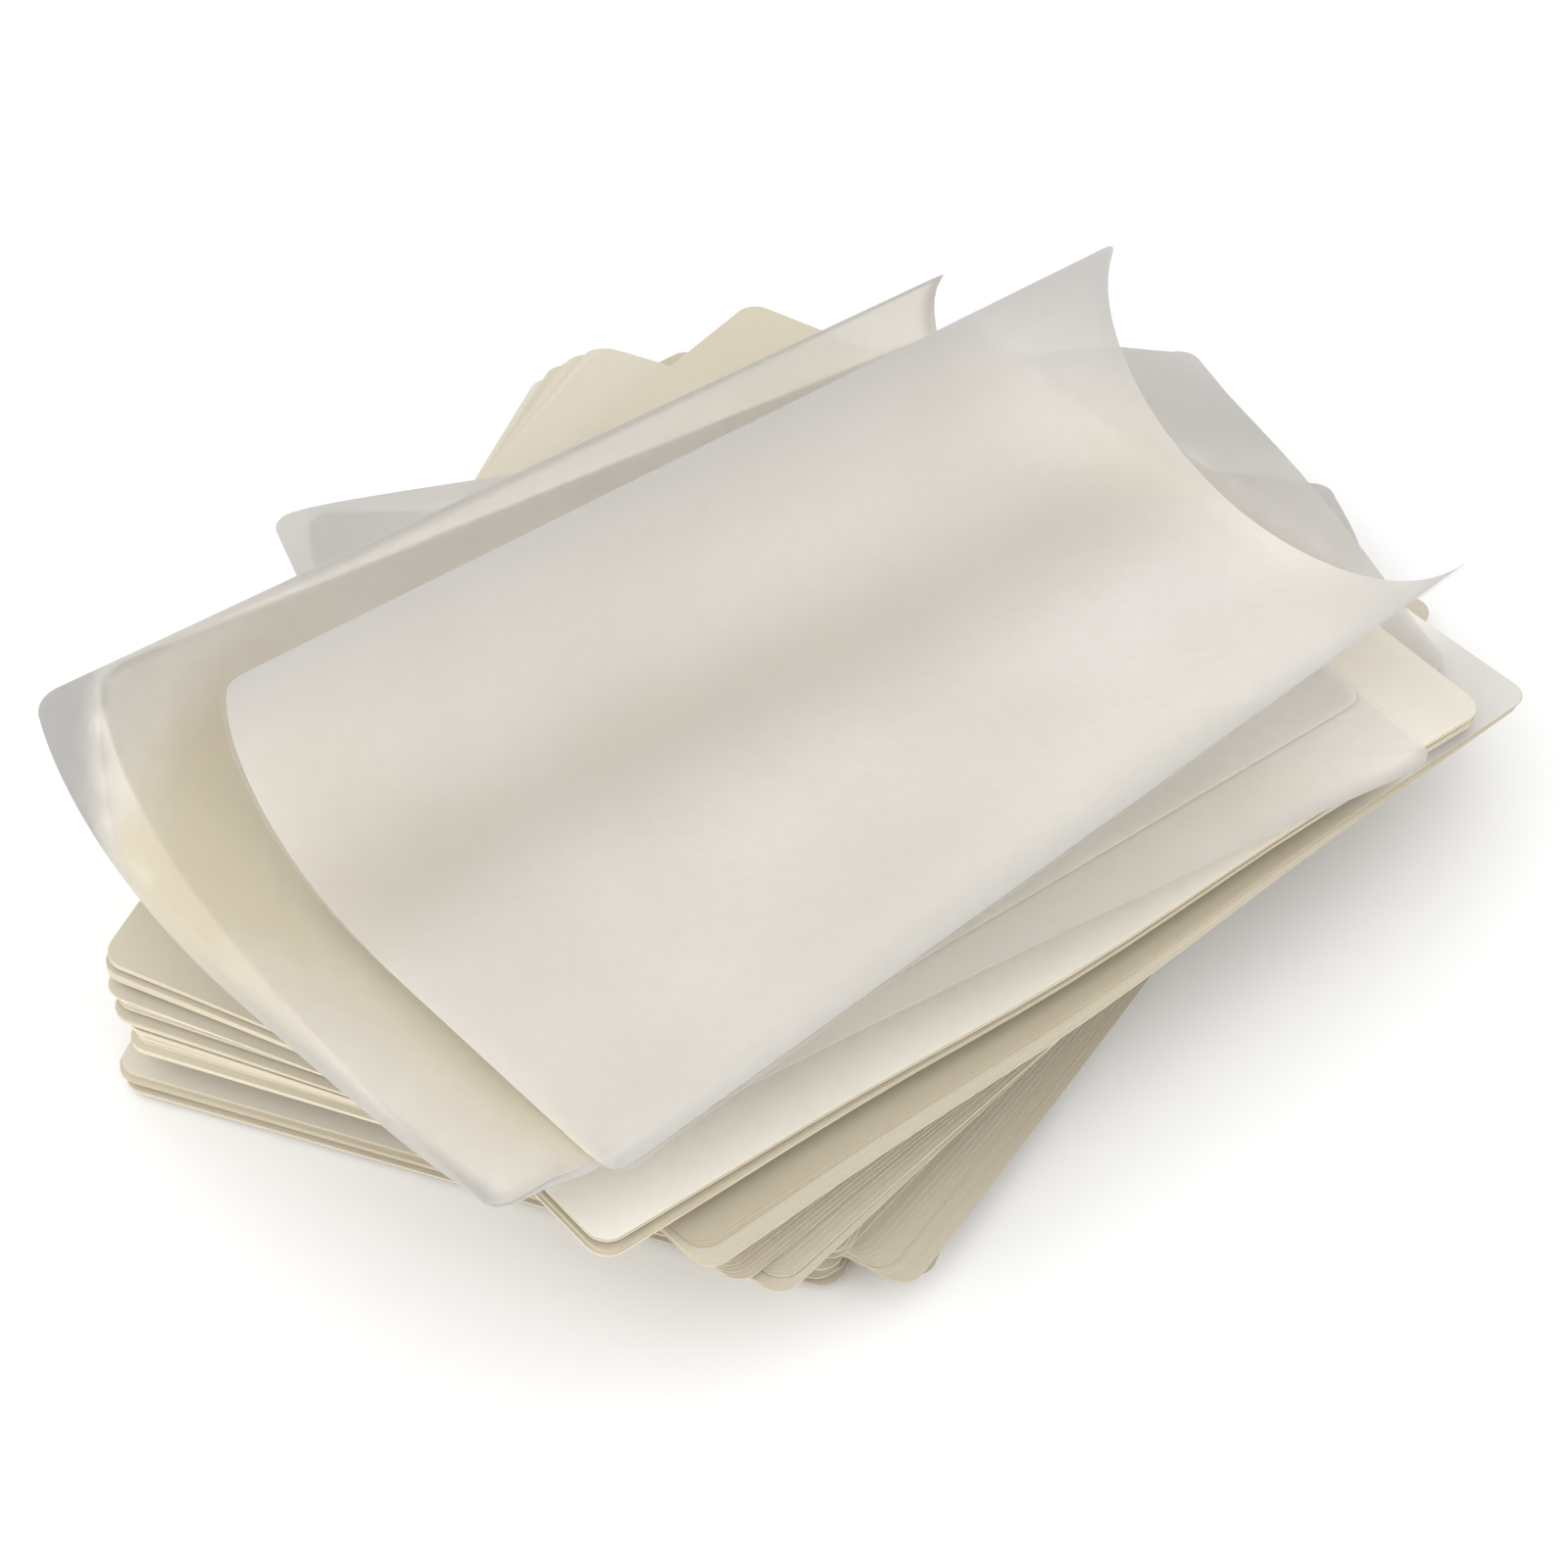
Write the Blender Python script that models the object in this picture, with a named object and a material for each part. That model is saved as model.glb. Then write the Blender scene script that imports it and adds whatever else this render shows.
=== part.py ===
"""A loose pile of thin edible wafer sheets with rounded corners: fanned bundles under curled single leaves.

Lengths in the tables are millimetres and are turned into metres when a mesh is made.
"""

import math

import bpy
import numpy as np
from mathutils import Vector
from mathutils.bvhtree import BVHTree

MM = 0.001
SHEET = (90.0, 60.0)
CORNER_RADIUS = 1.8
CORNER_STEPS = 4
LEAF_THICKNESS = 0.25
GAP = 0.3
PITCH = LEAF_THICKNESS + GAP
PLAN_REACH = 55.0
PLAN_MIDDLE_Y = -2.0
SAG_POWER = 1.6
SOFT_SPOT = (24.0, -33.0, 14.0)
DRAPE_SLOPE = 0.45
DRAPE_ONSET = 8.0
BUNDLE_CELLS = (10, 7)
FLAT_CELLS = (17, 11)

# Each bundle: turn in degrees, the corner that places it, where that corner is,
# then the heights of its under and upper face at the left, near, right, far, middle and soft spot.
BUNDLES = {
    "bundle_01": (
        71.0, "NL", (-52.8, -34.2),
        (0, 0, 0, 0, 0, 0), (2.6, 1.8, 0.4, 2.4, 2.0, 1.4),
    ),
    "bundle_02": (
        70.0, "NR", (10.6, -54.9),
        (2.9, 2.1, 0.7, 2.7, 2.3, 1.7), (3.6, 2.9, 1.0, 2.9, 3.2, 2.2),
    ),
    "bundle_03": (
        58.2, "NR", (9.8, -56.6),
        (3.9, 3.2, 1.3, 3.2, 3.5, 2.5), (4.3, 4.3, 1.7, 3.4, 4.1, 3.3),
    ),
    "bundle_04": (
        69.5, "NL", (-52.0, -33.4),
        (4.6, 4.6, 2.0, 3.7, 4.4, 3.6), (8.0, 5.5, 2.4, 3.9, 6.2, 4.6),
    ),
    "bundle_05": (
        68.0, "NL", (-52.6, -32.6),
        (8.3, 5.8, 2.7, 4.2, 6.5, 4.9), (11.5, 6.8, 3.1, 4.5, 8.0, 5.9),
    ),
    "bundle_06": (
        66.0, "NL", (-53.2, -31.8),
        (11.8, 7.1, 3.4, 4.8, 8.3, 6.2), (15.0, 8.2, 3.8, 5.2, 9.8, 7.2),
    ),
    "bundle_07": (
        48.4, "NR", (-1.0, -59.6),
        (15.3, 8.5, 4.9, 6.4, 10.1, 7.5), (15.7, 9.4, 5.5, 6.8, 10.8, 8.4),
    ),
    "bundle_08": (
        45.4, "NR", (-4.3, -60.0),
        (16.0, 9.7, 6.6, 7.2, 11.1, 8.7), (16.4, 11.0, 7.4, 7.7, 12.0, 9.6),
    ),
    "bundle_09": (
        56.0, "FL", (-3.0, 52.0),
        (16.7, 11.3, 7.9, 8.4, 12.3, 9.9), (17.2, 12.6, 8.8, 10.2, 13.1, 10.6),
    ),
    "bundle_10": (
        41.5, "FR", (61.6, -1.8),
        (18.1, 13.5, 12.1, 11.1, 14.0, 11.5), (18.5, 14.3, 12.6, 12.0, 14.7, 12.4),
    ),
    "bundle_11": (
        39.2, "NR", (-13.2, -63.6),
        (19.4, 15.2, 13.5, 12.9, 15.6, 13.3), (21.4, 17.5, 15.9, 14.8, 17.5, 15.4),
    ),
}

# Each flat leaf: turn in degrees, the corner that places it, where that corner is, its length and width,
# the free heights of its corners NL, NR, FL and FR, what lies under it and the bundle over it.
FLAT_LEAVES = {
    "leaf_right": (
        8.7, "FL", (48.4, 30.3), (90.0, 34.0), (15.8, 16.0, 7.4, 12.0),
        ("bundle_09",), "bundle_10",
    ),
    "leaf_back": (
        21.2, "NL", (-43.6, 15.7), (86.6, 50.0), (16.2, 15.2, 9.0, 13.5),
        ("bundle_10", "bundle_09", "leaf_right"), "bundle_11",
    ),
}

# Each curl: its leaf's length and width, middle x and y, turn in radians, height and lengthwise slope,
# then for its left and its right end: tilt, far curl, where that starts, near curl, where that starts.
CURLS = {
    "steep": (
        (88.8, 58.5), (4.38, -12.73, 0.693, 20.0, -0.063),
        (-0.053, 2.2, -5.2, 0.7, -23.5), (0.047, 1.96, -7.7, 1.1, 4.4),
    ),
    "wide": (
        (90.0, 61.5), (-6.82, -13.62, 0.7344, 19.1, -0.053),
        (-0.066, 1.68, -5.1, 0.26, -12.2), (-0.062, 2.4, 1.1, -0.14, 9.0),
    ),
}
CURLED_CELLS = (22, 17)
REACH_BEYOND = 12.0

# The loose leaves on top, from the uppermost down: the curl that each follows, how far it has slid
# along and across it, how far it is turned in degrees, and how many leaf pitches it lies below it.
LOOSE_LEAVES = {
    "leaf_top": ("steep", 0.0, 0.0, 0.0, 0),
    "leaf_tucked": ("steep", 0.0, -1.2, 0.9, 1),
    "leaf_lower": ("wide", 0.0, 0.0, 0.0, 0),
    "leaf_draped": ("wide", 1.7, -4.5, -5.3, 1),
}

COLORS = {
    "bundle": (0.86, 0.80, 0.66),
    "leaf": (0.88, 0.86, 0.81),
}


def clear_scene():
    for obj in list(bpy.data.objects):
        bpy.data.objects.remove(obj, do_unlink=True)


def material(name, color, roughness):
    made = bpy.data.materials.new(name)
    made.use_nodes = True
    shader = made.node_tree.nodes["Principled BSDF"]
    shader.inputs["Base Color"].default_value = (*color, 1.0)
    shader.inputs["Roughness"].default_value = roughness
    shader.inputs["Metallic"].default_value = 0.0
    return made


def plan_axes(turn):
    """Unit vectors along the length and across the width of a leaf turned by so many degrees."""
    angle = math.radians(turn)
    along = np.array([math.cos(angle), math.sin(angle)])
    return along, np.array([-along[1], along[0]])


def plan_centre(turn, corner, place, size):
    """Middle of a leaf whose near/far (N, F) and left/right (L, R) corner lies at a place."""
    along, across = plan_axes(turn)
    side_along = 1.0 if corner[0] == "F" else -1.0
    side_across = 1.0 if corner[1] == "L" else -1.0
    shift = side_along * along * size[0] / 2 + side_across * across * size[1] / 2
    return np.array(place) - shift


def rounded_steps(half, count):
    """Grid places from -half to half whose first and last step are as long as the corner radius."""
    inner = np.linspace(CORNER_RADIUS - half, half - CORNER_RADIUS, count - 1)
    return np.concatenate([[-half], inner, [half]])


def leaf_net(size, cells):
    """Points (u, v) and faces of a rectangle with rounded corners; the loop is its rim in order."""
    half_u = size[0] / 2
    half_v = size[1] / 2
    us = rounded_steps(half_u, cells[0])
    vs = rounded_steps(half_v, cells[1])
    points = []
    index = {}

    def point(key, u, v):
        if key not in index:
            index[key] = len(points)
            points.append((u, v))
        return index[key]

    def node(i, j):
        return point((i, j), us[i], vs[j])

    def arc(i, j, step):
        """A rim point of the corner cell whose inner grid point is (i, j)."""
        quarter = {(True, True): 2, (False, True): 3, (False, False): 0, (True, False): 1}[(i == 1, j == 1)]
        angle = 0.5 * math.pi * (quarter + step / CORNER_STEPS)
        u = us[i] + CORNER_RADIUS * math.cos(angle)
        v = vs[j] + CORNER_RADIUS * math.sin(angle)
        return point(("arc", i, j, step), u, v)

    last_i = cells[0]
    last_j = cells[1]
    ends = {}
    for i, j in ((1, 1), (last_i - 1, 1), (last_i - 1, last_j - 1), (1, last_j - 1)):
        left = i == 1
        low = j == 1
        edge_u = 0 if left else last_i
        edge_v = 0 if low else last_j
        first, second = ((edge_u, j), (i, edge_v)) if left == low else ((i, edge_v), (edge_u, j))
        index[("arc", i, j, 0)] = node(*first)
        index[("arc", i, j, CORNER_STEPS)] = node(*second)
        ends[(i, j)] = [arc(i, j, step) for step in range(CORNER_STEPS + 1)]

    faces = []
    for i in range(last_i):
        for j in range(last_j):
            if i in (0, last_i - 1) and j in (0, last_j - 1):
                inner = (1 if i == 0 else last_i - 1, 1 if j == 0 else last_j - 1)
                rim = ends[inner]
                faces += [(node(*inner), rim[step], rim[step + 1]) for step in range(CORNER_STEPS)]
            else:
                faces.append((node(i, j), node(i + 1, j), node(i + 1, j + 1), node(i, j + 1)))
    loop = ends[(1, 1)][:]
    loop += [node(i, 0) for i in range(2, last_i - 1)] + ends[(last_i - 1, 1)]
    loop += [node(last_i, j) for j in range(2, last_j - 1)] + ends[(last_i - 1, last_j - 1)]
    loop += [node(i, last_j) for i in range(last_i - 2, 1, -1)] + ends[(1, last_j - 1)]
    loop += [node(0, j) for j in range(last_j - 2, 1, -1)]
    return np.array(points), faces, loop


def plan_of(points, turn, centre):
    along, across = plan_axes(turn)
    return centre + points[:, :1] * along + points[:, 1:] * across


def shares(plan):
    """How much each of the six heights of a bundle counts at each plan point."""
    x = plan[:, 0] / PLAN_REACH
    y = (plan[:, 1] - PLAN_MIDDLE_Y) / PLAN_REACH
    sides = np.stack([np.clip(way, 0, 1) ** SAG_POWER for way in (-x, -y, x, y)], -1)
    sides = sides / np.maximum(1.0, sides.sum(-1, keepdims=True))
    five = np.concatenate([sides, 1.0 - sides.sum(-1, keepdims=True)], -1)
    away = (plan[:, 0] - SOFT_SPOT[0]) ** 2 + (plan[:, 1] - SOFT_SPOT[1]) ** 2
    soft = np.exp(-away / (2 * SOFT_SPOT[2] ** 2))[:, None]
    return np.concatenate([five * (1 - soft), soft], -1)


def bundle_height(plan, heights):
    return shares(plan) @ np.array(heights, float)


class Footprint:
    """The outline of a bundle in plan, with the height of one of its faces."""

    def __init__(self, name, upper):
        turn, corner, place, under, over = BUNDLES[name]
        self.turn = turn
        self.centre = plan_centre(turn, corner, place, SHEET)
        self.heights = over if upper else under
        points, _, loop = leaf_net(SHEET, (45, 30))
        self.rim = plan_of(points[loop], turn, self.centre)
        self.rim_height = bundle_height(self.rim, self.heights)

    def limit(self, plan, way):
        """Height over the bundle (way 1) or under it (way -1), easing away beyond its edge."""
        along, across = plan_axes(self.turn)
        local = plan - self.centre
        inside = (np.abs(local @ along) < SHEET[0] / 2) & (np.abs(local @ across) < SHEET[1] / 2)
        away = np.linalg.norm(plan[:, None] - self.rim[None], axis=-1)
        eased = self.rim_height - way * drape_drop(away)
        outside = eased.max(1) if way > 0 else eased.min(1)
        return np.where(inside, bundle_height(plan, self.heights), outside)


def drape_drop(away):
    """How far a leaf falls at a distance beyond the edge that holds it."""
    onset = DRAPE_SLOPE * away ** 2 / (2 * DRAPE_ONSET)
    return np.where(away < DRAPE_ONSET, onset, DRAPE_SLOPE * (away - DRAPE_ONSET / 2))


def end_profile(half, tilt, far_curl, far_start, near_curl, near_start):
    """Sideways reach and rise across one end of a curled leaf, both zero at its middle."""
    across = np.linspace(-half - REACH_BEYOND, half + REACH_BEYOND, 281)
    angle = tilt + far_curl * (np.clip(across - far_start, 0, None) / (half - far_start)) ** 2
    angle = angle - near_curl * (np.clip(near_start - across, 0, None) / (near_start + half)) ** 1.5
    step = across[1] - across[0]
    reach = np.concatenate([[0], np.cumsum((np.cos(angle[1:]) + np.cos(angle[:-1])) / 2 * step)])
    rise = np.concatenate([[0], np.cumsum((np.sin(angle[1:]) + np.sin(angle[:-1])) / 2 * step)])
    return across, reach - reach[140], rise - rise[140]


def curled_points(points, curl):
    """Places of a leaf whose two ends are bent across the width, each in its own way."""
    (length, width), (x, y, turn, height, slope), *end_values = CURLS[curl]
    share = points[:, 0] / length + 0.5
    ends = []
    for values in end_values:
        across, reach, rise = end_profile(width / 2, *values)
        ends.append((np.interp(points[:, 1], across, reach), np.interp(points[:, 1], across, rise)))
    reach = ends[0][0] * (1 - share) + ends[1][0] * share
    rise = ends[0][1] * (1 - share) + ends[1][1] * share
    plan_x = x + points[:, 0] * math.cos(turn) - reach * math.sin(turn)
    plan_y = y + points[:, 0] * math.sin(turn) + reach * math.cos(turn)
    return np.stack([plan_x, plan_y, height + slope * points[:, 0] + rise], -1)


class Layer:
    """A leaf already in place, which other leaves keep over (way 1) or under (way -1)."""

    def __init__(self, points, faces):
        self.tree = BVHTree.FromPolygons([Vector(point) for point in points], faces)
        self.points = points

    def limit(self, plan, way):
        away = np.linalg.norm(plan[:, None] - self.points[None, :, :2], axis=-1)
        fall = drape_drop(away) * (1.0 if way > 0 else 1.2 / DRAPE_SLOPE)
        eased = (self.points[:, 2] - fall).max(1) if way > 0 else (self.points[:, 2] + fall).min(1)
        start = 90.0 if way > 0 else -5.0
        for row, (x, y) in enumerate(plan):
            hit = self.tree.ray_cast(Vector((x, y, start)), Vector((0, 0, -way)))[0]
            if hit is not None:
                eased[row] = hit.z
        return eased


def normals_of(points, faces):
    """A unit normal for each point, the mean of its faces' own, pointing away from the floor side."""
    normals = np.zeros_like(points)
    for face in faces:
        corner = points[list(face)]
        normal = np.cross(corner[1] - corner[0], corner[2] - corner[0])
        normals[list(face)] += normal
    return normals / np.linalg.norm(normals, axis=1, keepdims=True)


def solid(name, under, over, faces, loop, finish):
    """A closed solid between two layers of points that share their faces."""
    count = len(under)
    points = np.concatenate([under, over]) * MM
    every = [tuple(reversed(face)) for face in faces]
    every += [tuple(corner + count for corner in face) for face in faces]
    for first, second in zip(loop, loop[1:] + loop[:1]):
        every.append((first, second, second + count, first + count))
    mesh = bpy.data.meshes.new(name)
    mesh.from_pydata([tuple(point) for point in points], [], every)
    mesh.validate()
    obj = bpy.data.objects.new(name, mesh)
    bpy.context.scene.collection.objects.link(obj)
    mesh.materials.append(finish)
    return obj


def build_bundle(name, finish):
    turn, corner, place, under, over = BUNDLES[name]
    points, faces, loop = leaf_net(SHEET, BUNDLE_CELLS)
    plan = plan_of(points, turn, plan_centre(turn, corner, place, SHEET))
    low = np.column_stack([plan, bundle_height(plan, under)])
    high = np.column_stack([plan, bundle_height(plan, over)])
    return solid(name, low, high, faces, loop, finish)


def leaf_solid(name, middle, faces, loop, finish):
    """A leaf of even thickness about its middle layer."""
    offset = normals_of(middle, faces) * LEAF_THICKNESS / 2
    return solid(name, middle - offset, middle + offset, faces, loop, finish)


def build_flat_leaves(finish):
    """The two leaves that lie flat between bundles and droop where nothing holds them."""
    room = GAP + LEAF_THICKNESS / 2
    placed = {}
    for name, (turn, corner, place, size, heights, below, above) in FLAT_LEAVES.items():
        points, faces, loop = leaf_net(size, FLAT_CELLS)
        plan = plan_of(points, turn, plan_centre(turn, corner, place, size))
        share_u = points[:, 0] / size[0] + 0.5
        share_v = points[:, 1] / size[1] + 0.5
        left = heights[1] * (1 - share_v) + heights[0] * share_v
        right = heights[3] * (1 - share_v) + heights[2] * share_v
        height = left * (1 - share_u) + right * share_u
        for under in below:
            if under in placed:
                height = np.maximum(height, placed[under].limit(plan, 1) + PITCH)
            else:
                height = np.maximum(height, Footprint(under, True).limit(plan, 1) + room)
        height = np.minimum(height, Footprint(above, False).limit(plan, -1) - room)
        middle = np.column_stack([plan, height])
        placed[name] = Layer(middle, faces)
        leaf_solid(name, middle, faces, loop, finish)


def shifted(places, known, shifts):
    """A height shift for each place on a curl, from those of the leaf that it follows."""
    away = ((places[:, None] - known[None]) ** 2).sum(-1)
    weight = 1.0 / (away + 0.5) ** 2
    return (weight * shifts).sum(1) / weight.sum(1)


def build_loose_leaves(finish):
    """The four loose leaves on top: each stays over the top bundle and under the leaves above it."""
    ground = Footprint("bundle_11", True)
    room = GAP + LEAF_THICKNESS / 2
    placed = []
    leaders = {}
    for name, (curl, along, across, turn, below) in LOOSE_LEAVES.items():
        points, faces, loop = leaf_net(CURLS[curl][0], CURLED_CELLS)
        places = plan_of(points, turn, np.array([along, across]))
        free = curled_points(places, curl)
        middle = free - normals_of(free, faces) * PITCH * 1.2 * below
        if curl in leaders:
            middle[:, 2] += shifted(places, *leaders[curl])
        for layer in placed:
            if curl not in leaders:
                middle[:, 2] = np.minimum(middle[:, 2], layer.limit(middle[:, :2], -1) - PITCH)
        left_under = len(LOOSE_LEAVES) - 1 - len(placed)
        least = ground.limit(middle[:, :2], 1) + room + left_under * PITCH * 1.2
        middle[:, 2] = np.maximum(middle[:, 2], least)
        placed.append(Layer(middle, faces))
        if curl not in leaders:
            leaders[curl] = (places, middle[:, 2] - free[:, 2])
        leaf_solid(name, middle, faces, loop, finish)


def centre_on_origin():
    """Moves every solid so that the pile stands over the origin, with its lowest point on the floor."""
    meshes = [obj.data for obj in bpy.context.scene.collection.objects]
    corners = np.array([vertex.co for mesh in meshes for vertex in mesh.vertices])
    low = corners.min(0)
    high = corners.max(0)
    shift = Vector((-(low[0] + high[0]) / 2, -(low[1] + high[1]) / 2, -low[2]))
    for mesh in meshes:
        for vertex in mesh.vertices:
            vertex.co += shift


def main():
    clear_scene()
    bundle_finish = material("wafer_bundle", COLORS["bundle"], 0.75)
    leaf_finish = material("wafer_leaf", COLORS["leaf"], 0.7)
    for name in BUNDLES:
        build_bundle(name, bundle_finish)
    build_flat_leaves(leaf_finish)
    build_loose_leaves(leaf_finish)
    centre_on_origin()


main()
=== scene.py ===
import math

import bpy
import numpy as np
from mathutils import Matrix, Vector
from mathutils.bvhtree import BVHTree
from mathutils.interpolate import poly_3d_calc


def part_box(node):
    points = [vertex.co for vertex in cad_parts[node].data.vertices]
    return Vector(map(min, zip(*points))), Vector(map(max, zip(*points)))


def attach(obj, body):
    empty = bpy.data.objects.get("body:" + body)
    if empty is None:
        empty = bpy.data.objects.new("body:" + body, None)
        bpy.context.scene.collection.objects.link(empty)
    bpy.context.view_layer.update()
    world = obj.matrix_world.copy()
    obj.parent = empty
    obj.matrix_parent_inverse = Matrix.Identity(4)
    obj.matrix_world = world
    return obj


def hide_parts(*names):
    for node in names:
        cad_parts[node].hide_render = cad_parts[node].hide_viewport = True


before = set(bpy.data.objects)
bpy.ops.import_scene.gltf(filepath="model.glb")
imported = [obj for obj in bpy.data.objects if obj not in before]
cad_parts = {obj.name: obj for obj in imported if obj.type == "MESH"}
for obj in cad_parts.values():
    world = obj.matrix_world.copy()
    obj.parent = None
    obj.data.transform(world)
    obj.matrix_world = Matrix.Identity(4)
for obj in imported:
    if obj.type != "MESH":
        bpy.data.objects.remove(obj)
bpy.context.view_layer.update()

# Lengths are millimetres up to the meshes, which are metres. The sizes of this first group and
# the tables of bundles, flat leaves, curls and loose leaves are those that the solids were made
# from, except that leaf_draped has slid a little further.
MM = 0.001
SHEET = (90.0, 60.0)
CORNER_RADIUS = 1.8
LEAF_THICKNESS = 0.25
GAP = 0.3
PITCH = LEAF_THICKNESS + GAP
PLAN_REACH = 55.0
PLAN_MIDDLE_Y = -2.0
SAG_POWER = 1.6
SOFT_SPOT = (24.0, -33.0, 14.0)
DRAPE_SLOPE = 0.45
DRAPE_ONSET = 8.0
UNDERSIDE_SLOPE = 1.2
REACH_BEYOND = 12.0
PROFILE_STEPS = 280

# The scene's own sheets: thinner than the solids, the loose ones closer together, and finer, with
# so many steps round a corner and so many cells along and across.
PAPER_THICKNESS = 0.05
CLOSE_PITCH = 0.2
CLOSE_ROOM = 0.12
CORNER_STEPS = 5
BUNDLE_CELLS = (18, 12)
FLAT_CELLS = (50, 34)
LOOSE_CELLS = (60, 42)

# A bundle's sheets: spreads of turn in degrees and of slide by cluster and by sheet, how much wider
# the gaps between clusters are at each of the six heights, thickness, and tones: the bundles
# lightened as painted light on the stack's lit left side, and the tone of the bottom bundle's top
# sheet, lightened as painted light out of the shade over it.
SEED = 7
CLUSTER_SIZES = (3, 7)
CLUSTER_TURN = 0.28
CLUSTER_SLIDE = 0.32
SHEET_TURN = 0.015
SHEET_SLIDE = 0.02
SHEET_STRETCH = 0.0003
OPEN_GAPS = (7.0, 2.5, 2.5, 4.0, 2.5, 2.5)
THICKEST = 0.16
FILLED_SHARE = 0.85
SHEET_ROOM = 0.02
PAINTED_LIGHT_BUNDLES = ("bundle_04", "bundle_05", "bundle_06")
BOTTOM_PAINTED_LIGHT_TONE = 1.2

# The second sheet that clings under leaf_lower, all but a corner at its left end.
TWIN_LEAF = "leaf_lower"
TWIN_INSET = 6.0
TWIN_CROSSING = 15.3
TWIN_GAP = 0.12
TWIN_TRIM = 0.4

# What a ray that looks for paper under a sheet counts: the weight of each kind that it meets,
# the distances over which that fades, and how far it looks. The rays go straight down and in
# three slanting rings.
BUNDLE_WEIGHT = 1.0
TWIN_WEIGHT = 0.8
SHEET_WEIGHT = 0.45
TUCKED_WEIGHT = 0.12
BACKING_REACH = 30.0
BACKING_FADE = 9.0
CREAM_FADE = 12.0
CREAM_ONSET = 5.0
FIRM_FADE = 6.0
SHEET_DIM = 0.7
MOST_MET = 6
RAY_STEP = 0.02
CONE = [(0.0, 0.0)] + [
    (radius * math.cos(math.tau * turn / 6), radius * math.sin(math.tau * turn / 6))
    for radius, first in ((0.3, 0.0), (0.8, 0.5), (1.5, 0.0)) for turn in np.arange(6) + first
]

# The share that each leaf keeps of its backing, which sets its painted shade and how see-through it
# is, of its cream, painted light from the pile, and of its firmness.
FLAT_HOLD = (0.6, 0.08, 0.45)
HOLD = {
    "leaf_top": (1.0, 0.05, 1.0),
    "leaf_tucked": (1.0, 0.3, 1.0),
    "leaf_lower": (1.0, 1.0, 1.0),
    "leaf_draped": (1.0, 0.15, 1.0),
    "leaf_right": FLAT_HOLD,
    "leaf_back": FLAT_HOLD,
}

# How far along leaf_lower the pile's cream, painted light, holds and what is left of it beyond, how
# dark the painted shade on the bare corner is, and where across leaf_top the painted shade of its
# trough lies and how wide it is.
CREAM_REACH = 14.0
CREAM_SPREAD = 12.0
CREAM_REST = 0.12
BARE_SHADE_DEPTH = 0.3
VALLEY_SHADE_MIDDLE = 6.5
VALLEY_SHADE_WIDTH = 7.0

# How see-through a sheet is: over nothing, on paper, clinging under a leaf, tucked away, lifted.
CLEAR_ALONE = 0.25
CLEAR_BACKED = 0.46
TWIN_CLEAR = 0.72
HIDDEN_CLEAR = 0.88
LIFTED_CLEAR = 0.46

# Linear colours, and how matt the paper is.
# Bundle colours: the lit top of a top sheet; a corner greyed as painted shade of a sheet with
# nothing behind it; faces under a top sheet, darker as painted shade of the pile over them with the
# paper's own depth; and cut edges' cream, each pair mixed by a cluster's random tone.
BUNDLE_TOP = (0.90, 0.865, 0.79, 1)
BUNDLE_CORNER_SHADE = (0.665, 0.65, 0.625, 1)
BUNDLE_FACE = (0.63, 0.583, 0.489, 1)
BUNDLE_FACE_DARK = (0.527, 0.472, 0.357, 1)
BUNDLE_EDGE = (0.77, 0.70, 0.551, 1)
BUNDLE_EDGE_DARK = (0.525, 0.45, 0.32, 1)
# Leaf colours: grey where nothing lies behind a sheet and darker still at leaf_lower's bare corner,
# both painted shade; white where paper backs it; cream where the pile below shows through, painted
# light; and darker in leaf_top's trough, painted shade. Then the paper's own mottle and the tint of
# light passed through it.
LEAF_BARE_SHADE = (0.38, 0.37, 0.365, 1)
LEAF_ALONE_SHADE = (0.57, 0.56, 0.55, 1)
LEAF_BACKED = (0.945, 0.918, 0.875, 1)
LEAF_PILE_GLOW = (0.80, 0.735, 0.59, 1)
LEAF_VALLEY_SHADE = (0.755, 0.712, 0.648, 1)
MOTTLE = (0.62, 0.58, 0.5, 1)
PASSED_LIGHT = (1, 0.99, 0.97, 1)
FLOOR_DARK = (0.90, 0.90, 0.90, 1)
FLOOR_PALE = (0.92, 0.92, 0.92, 1)
PAPER_ROUGHNESS = 0.75
PAPER_SHEEN = 0.2

# Lights and camera, in metres, watts and degrees.
WORLD_STRENGTH = 1.13
LIGHT_COLOR = (1.0, 1.0, 0.99)
LIGHT_TARGET = (0.0, 0.0, 0.01)
FLOOR_HALF = 4.0
FLOOR_STEPS = 24
FLOOR_DROP = 0.0002
VIEW_HEIGHT = 45.5
VIEW_DISTANCE = 0.35
LENS = 94.5

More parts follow.
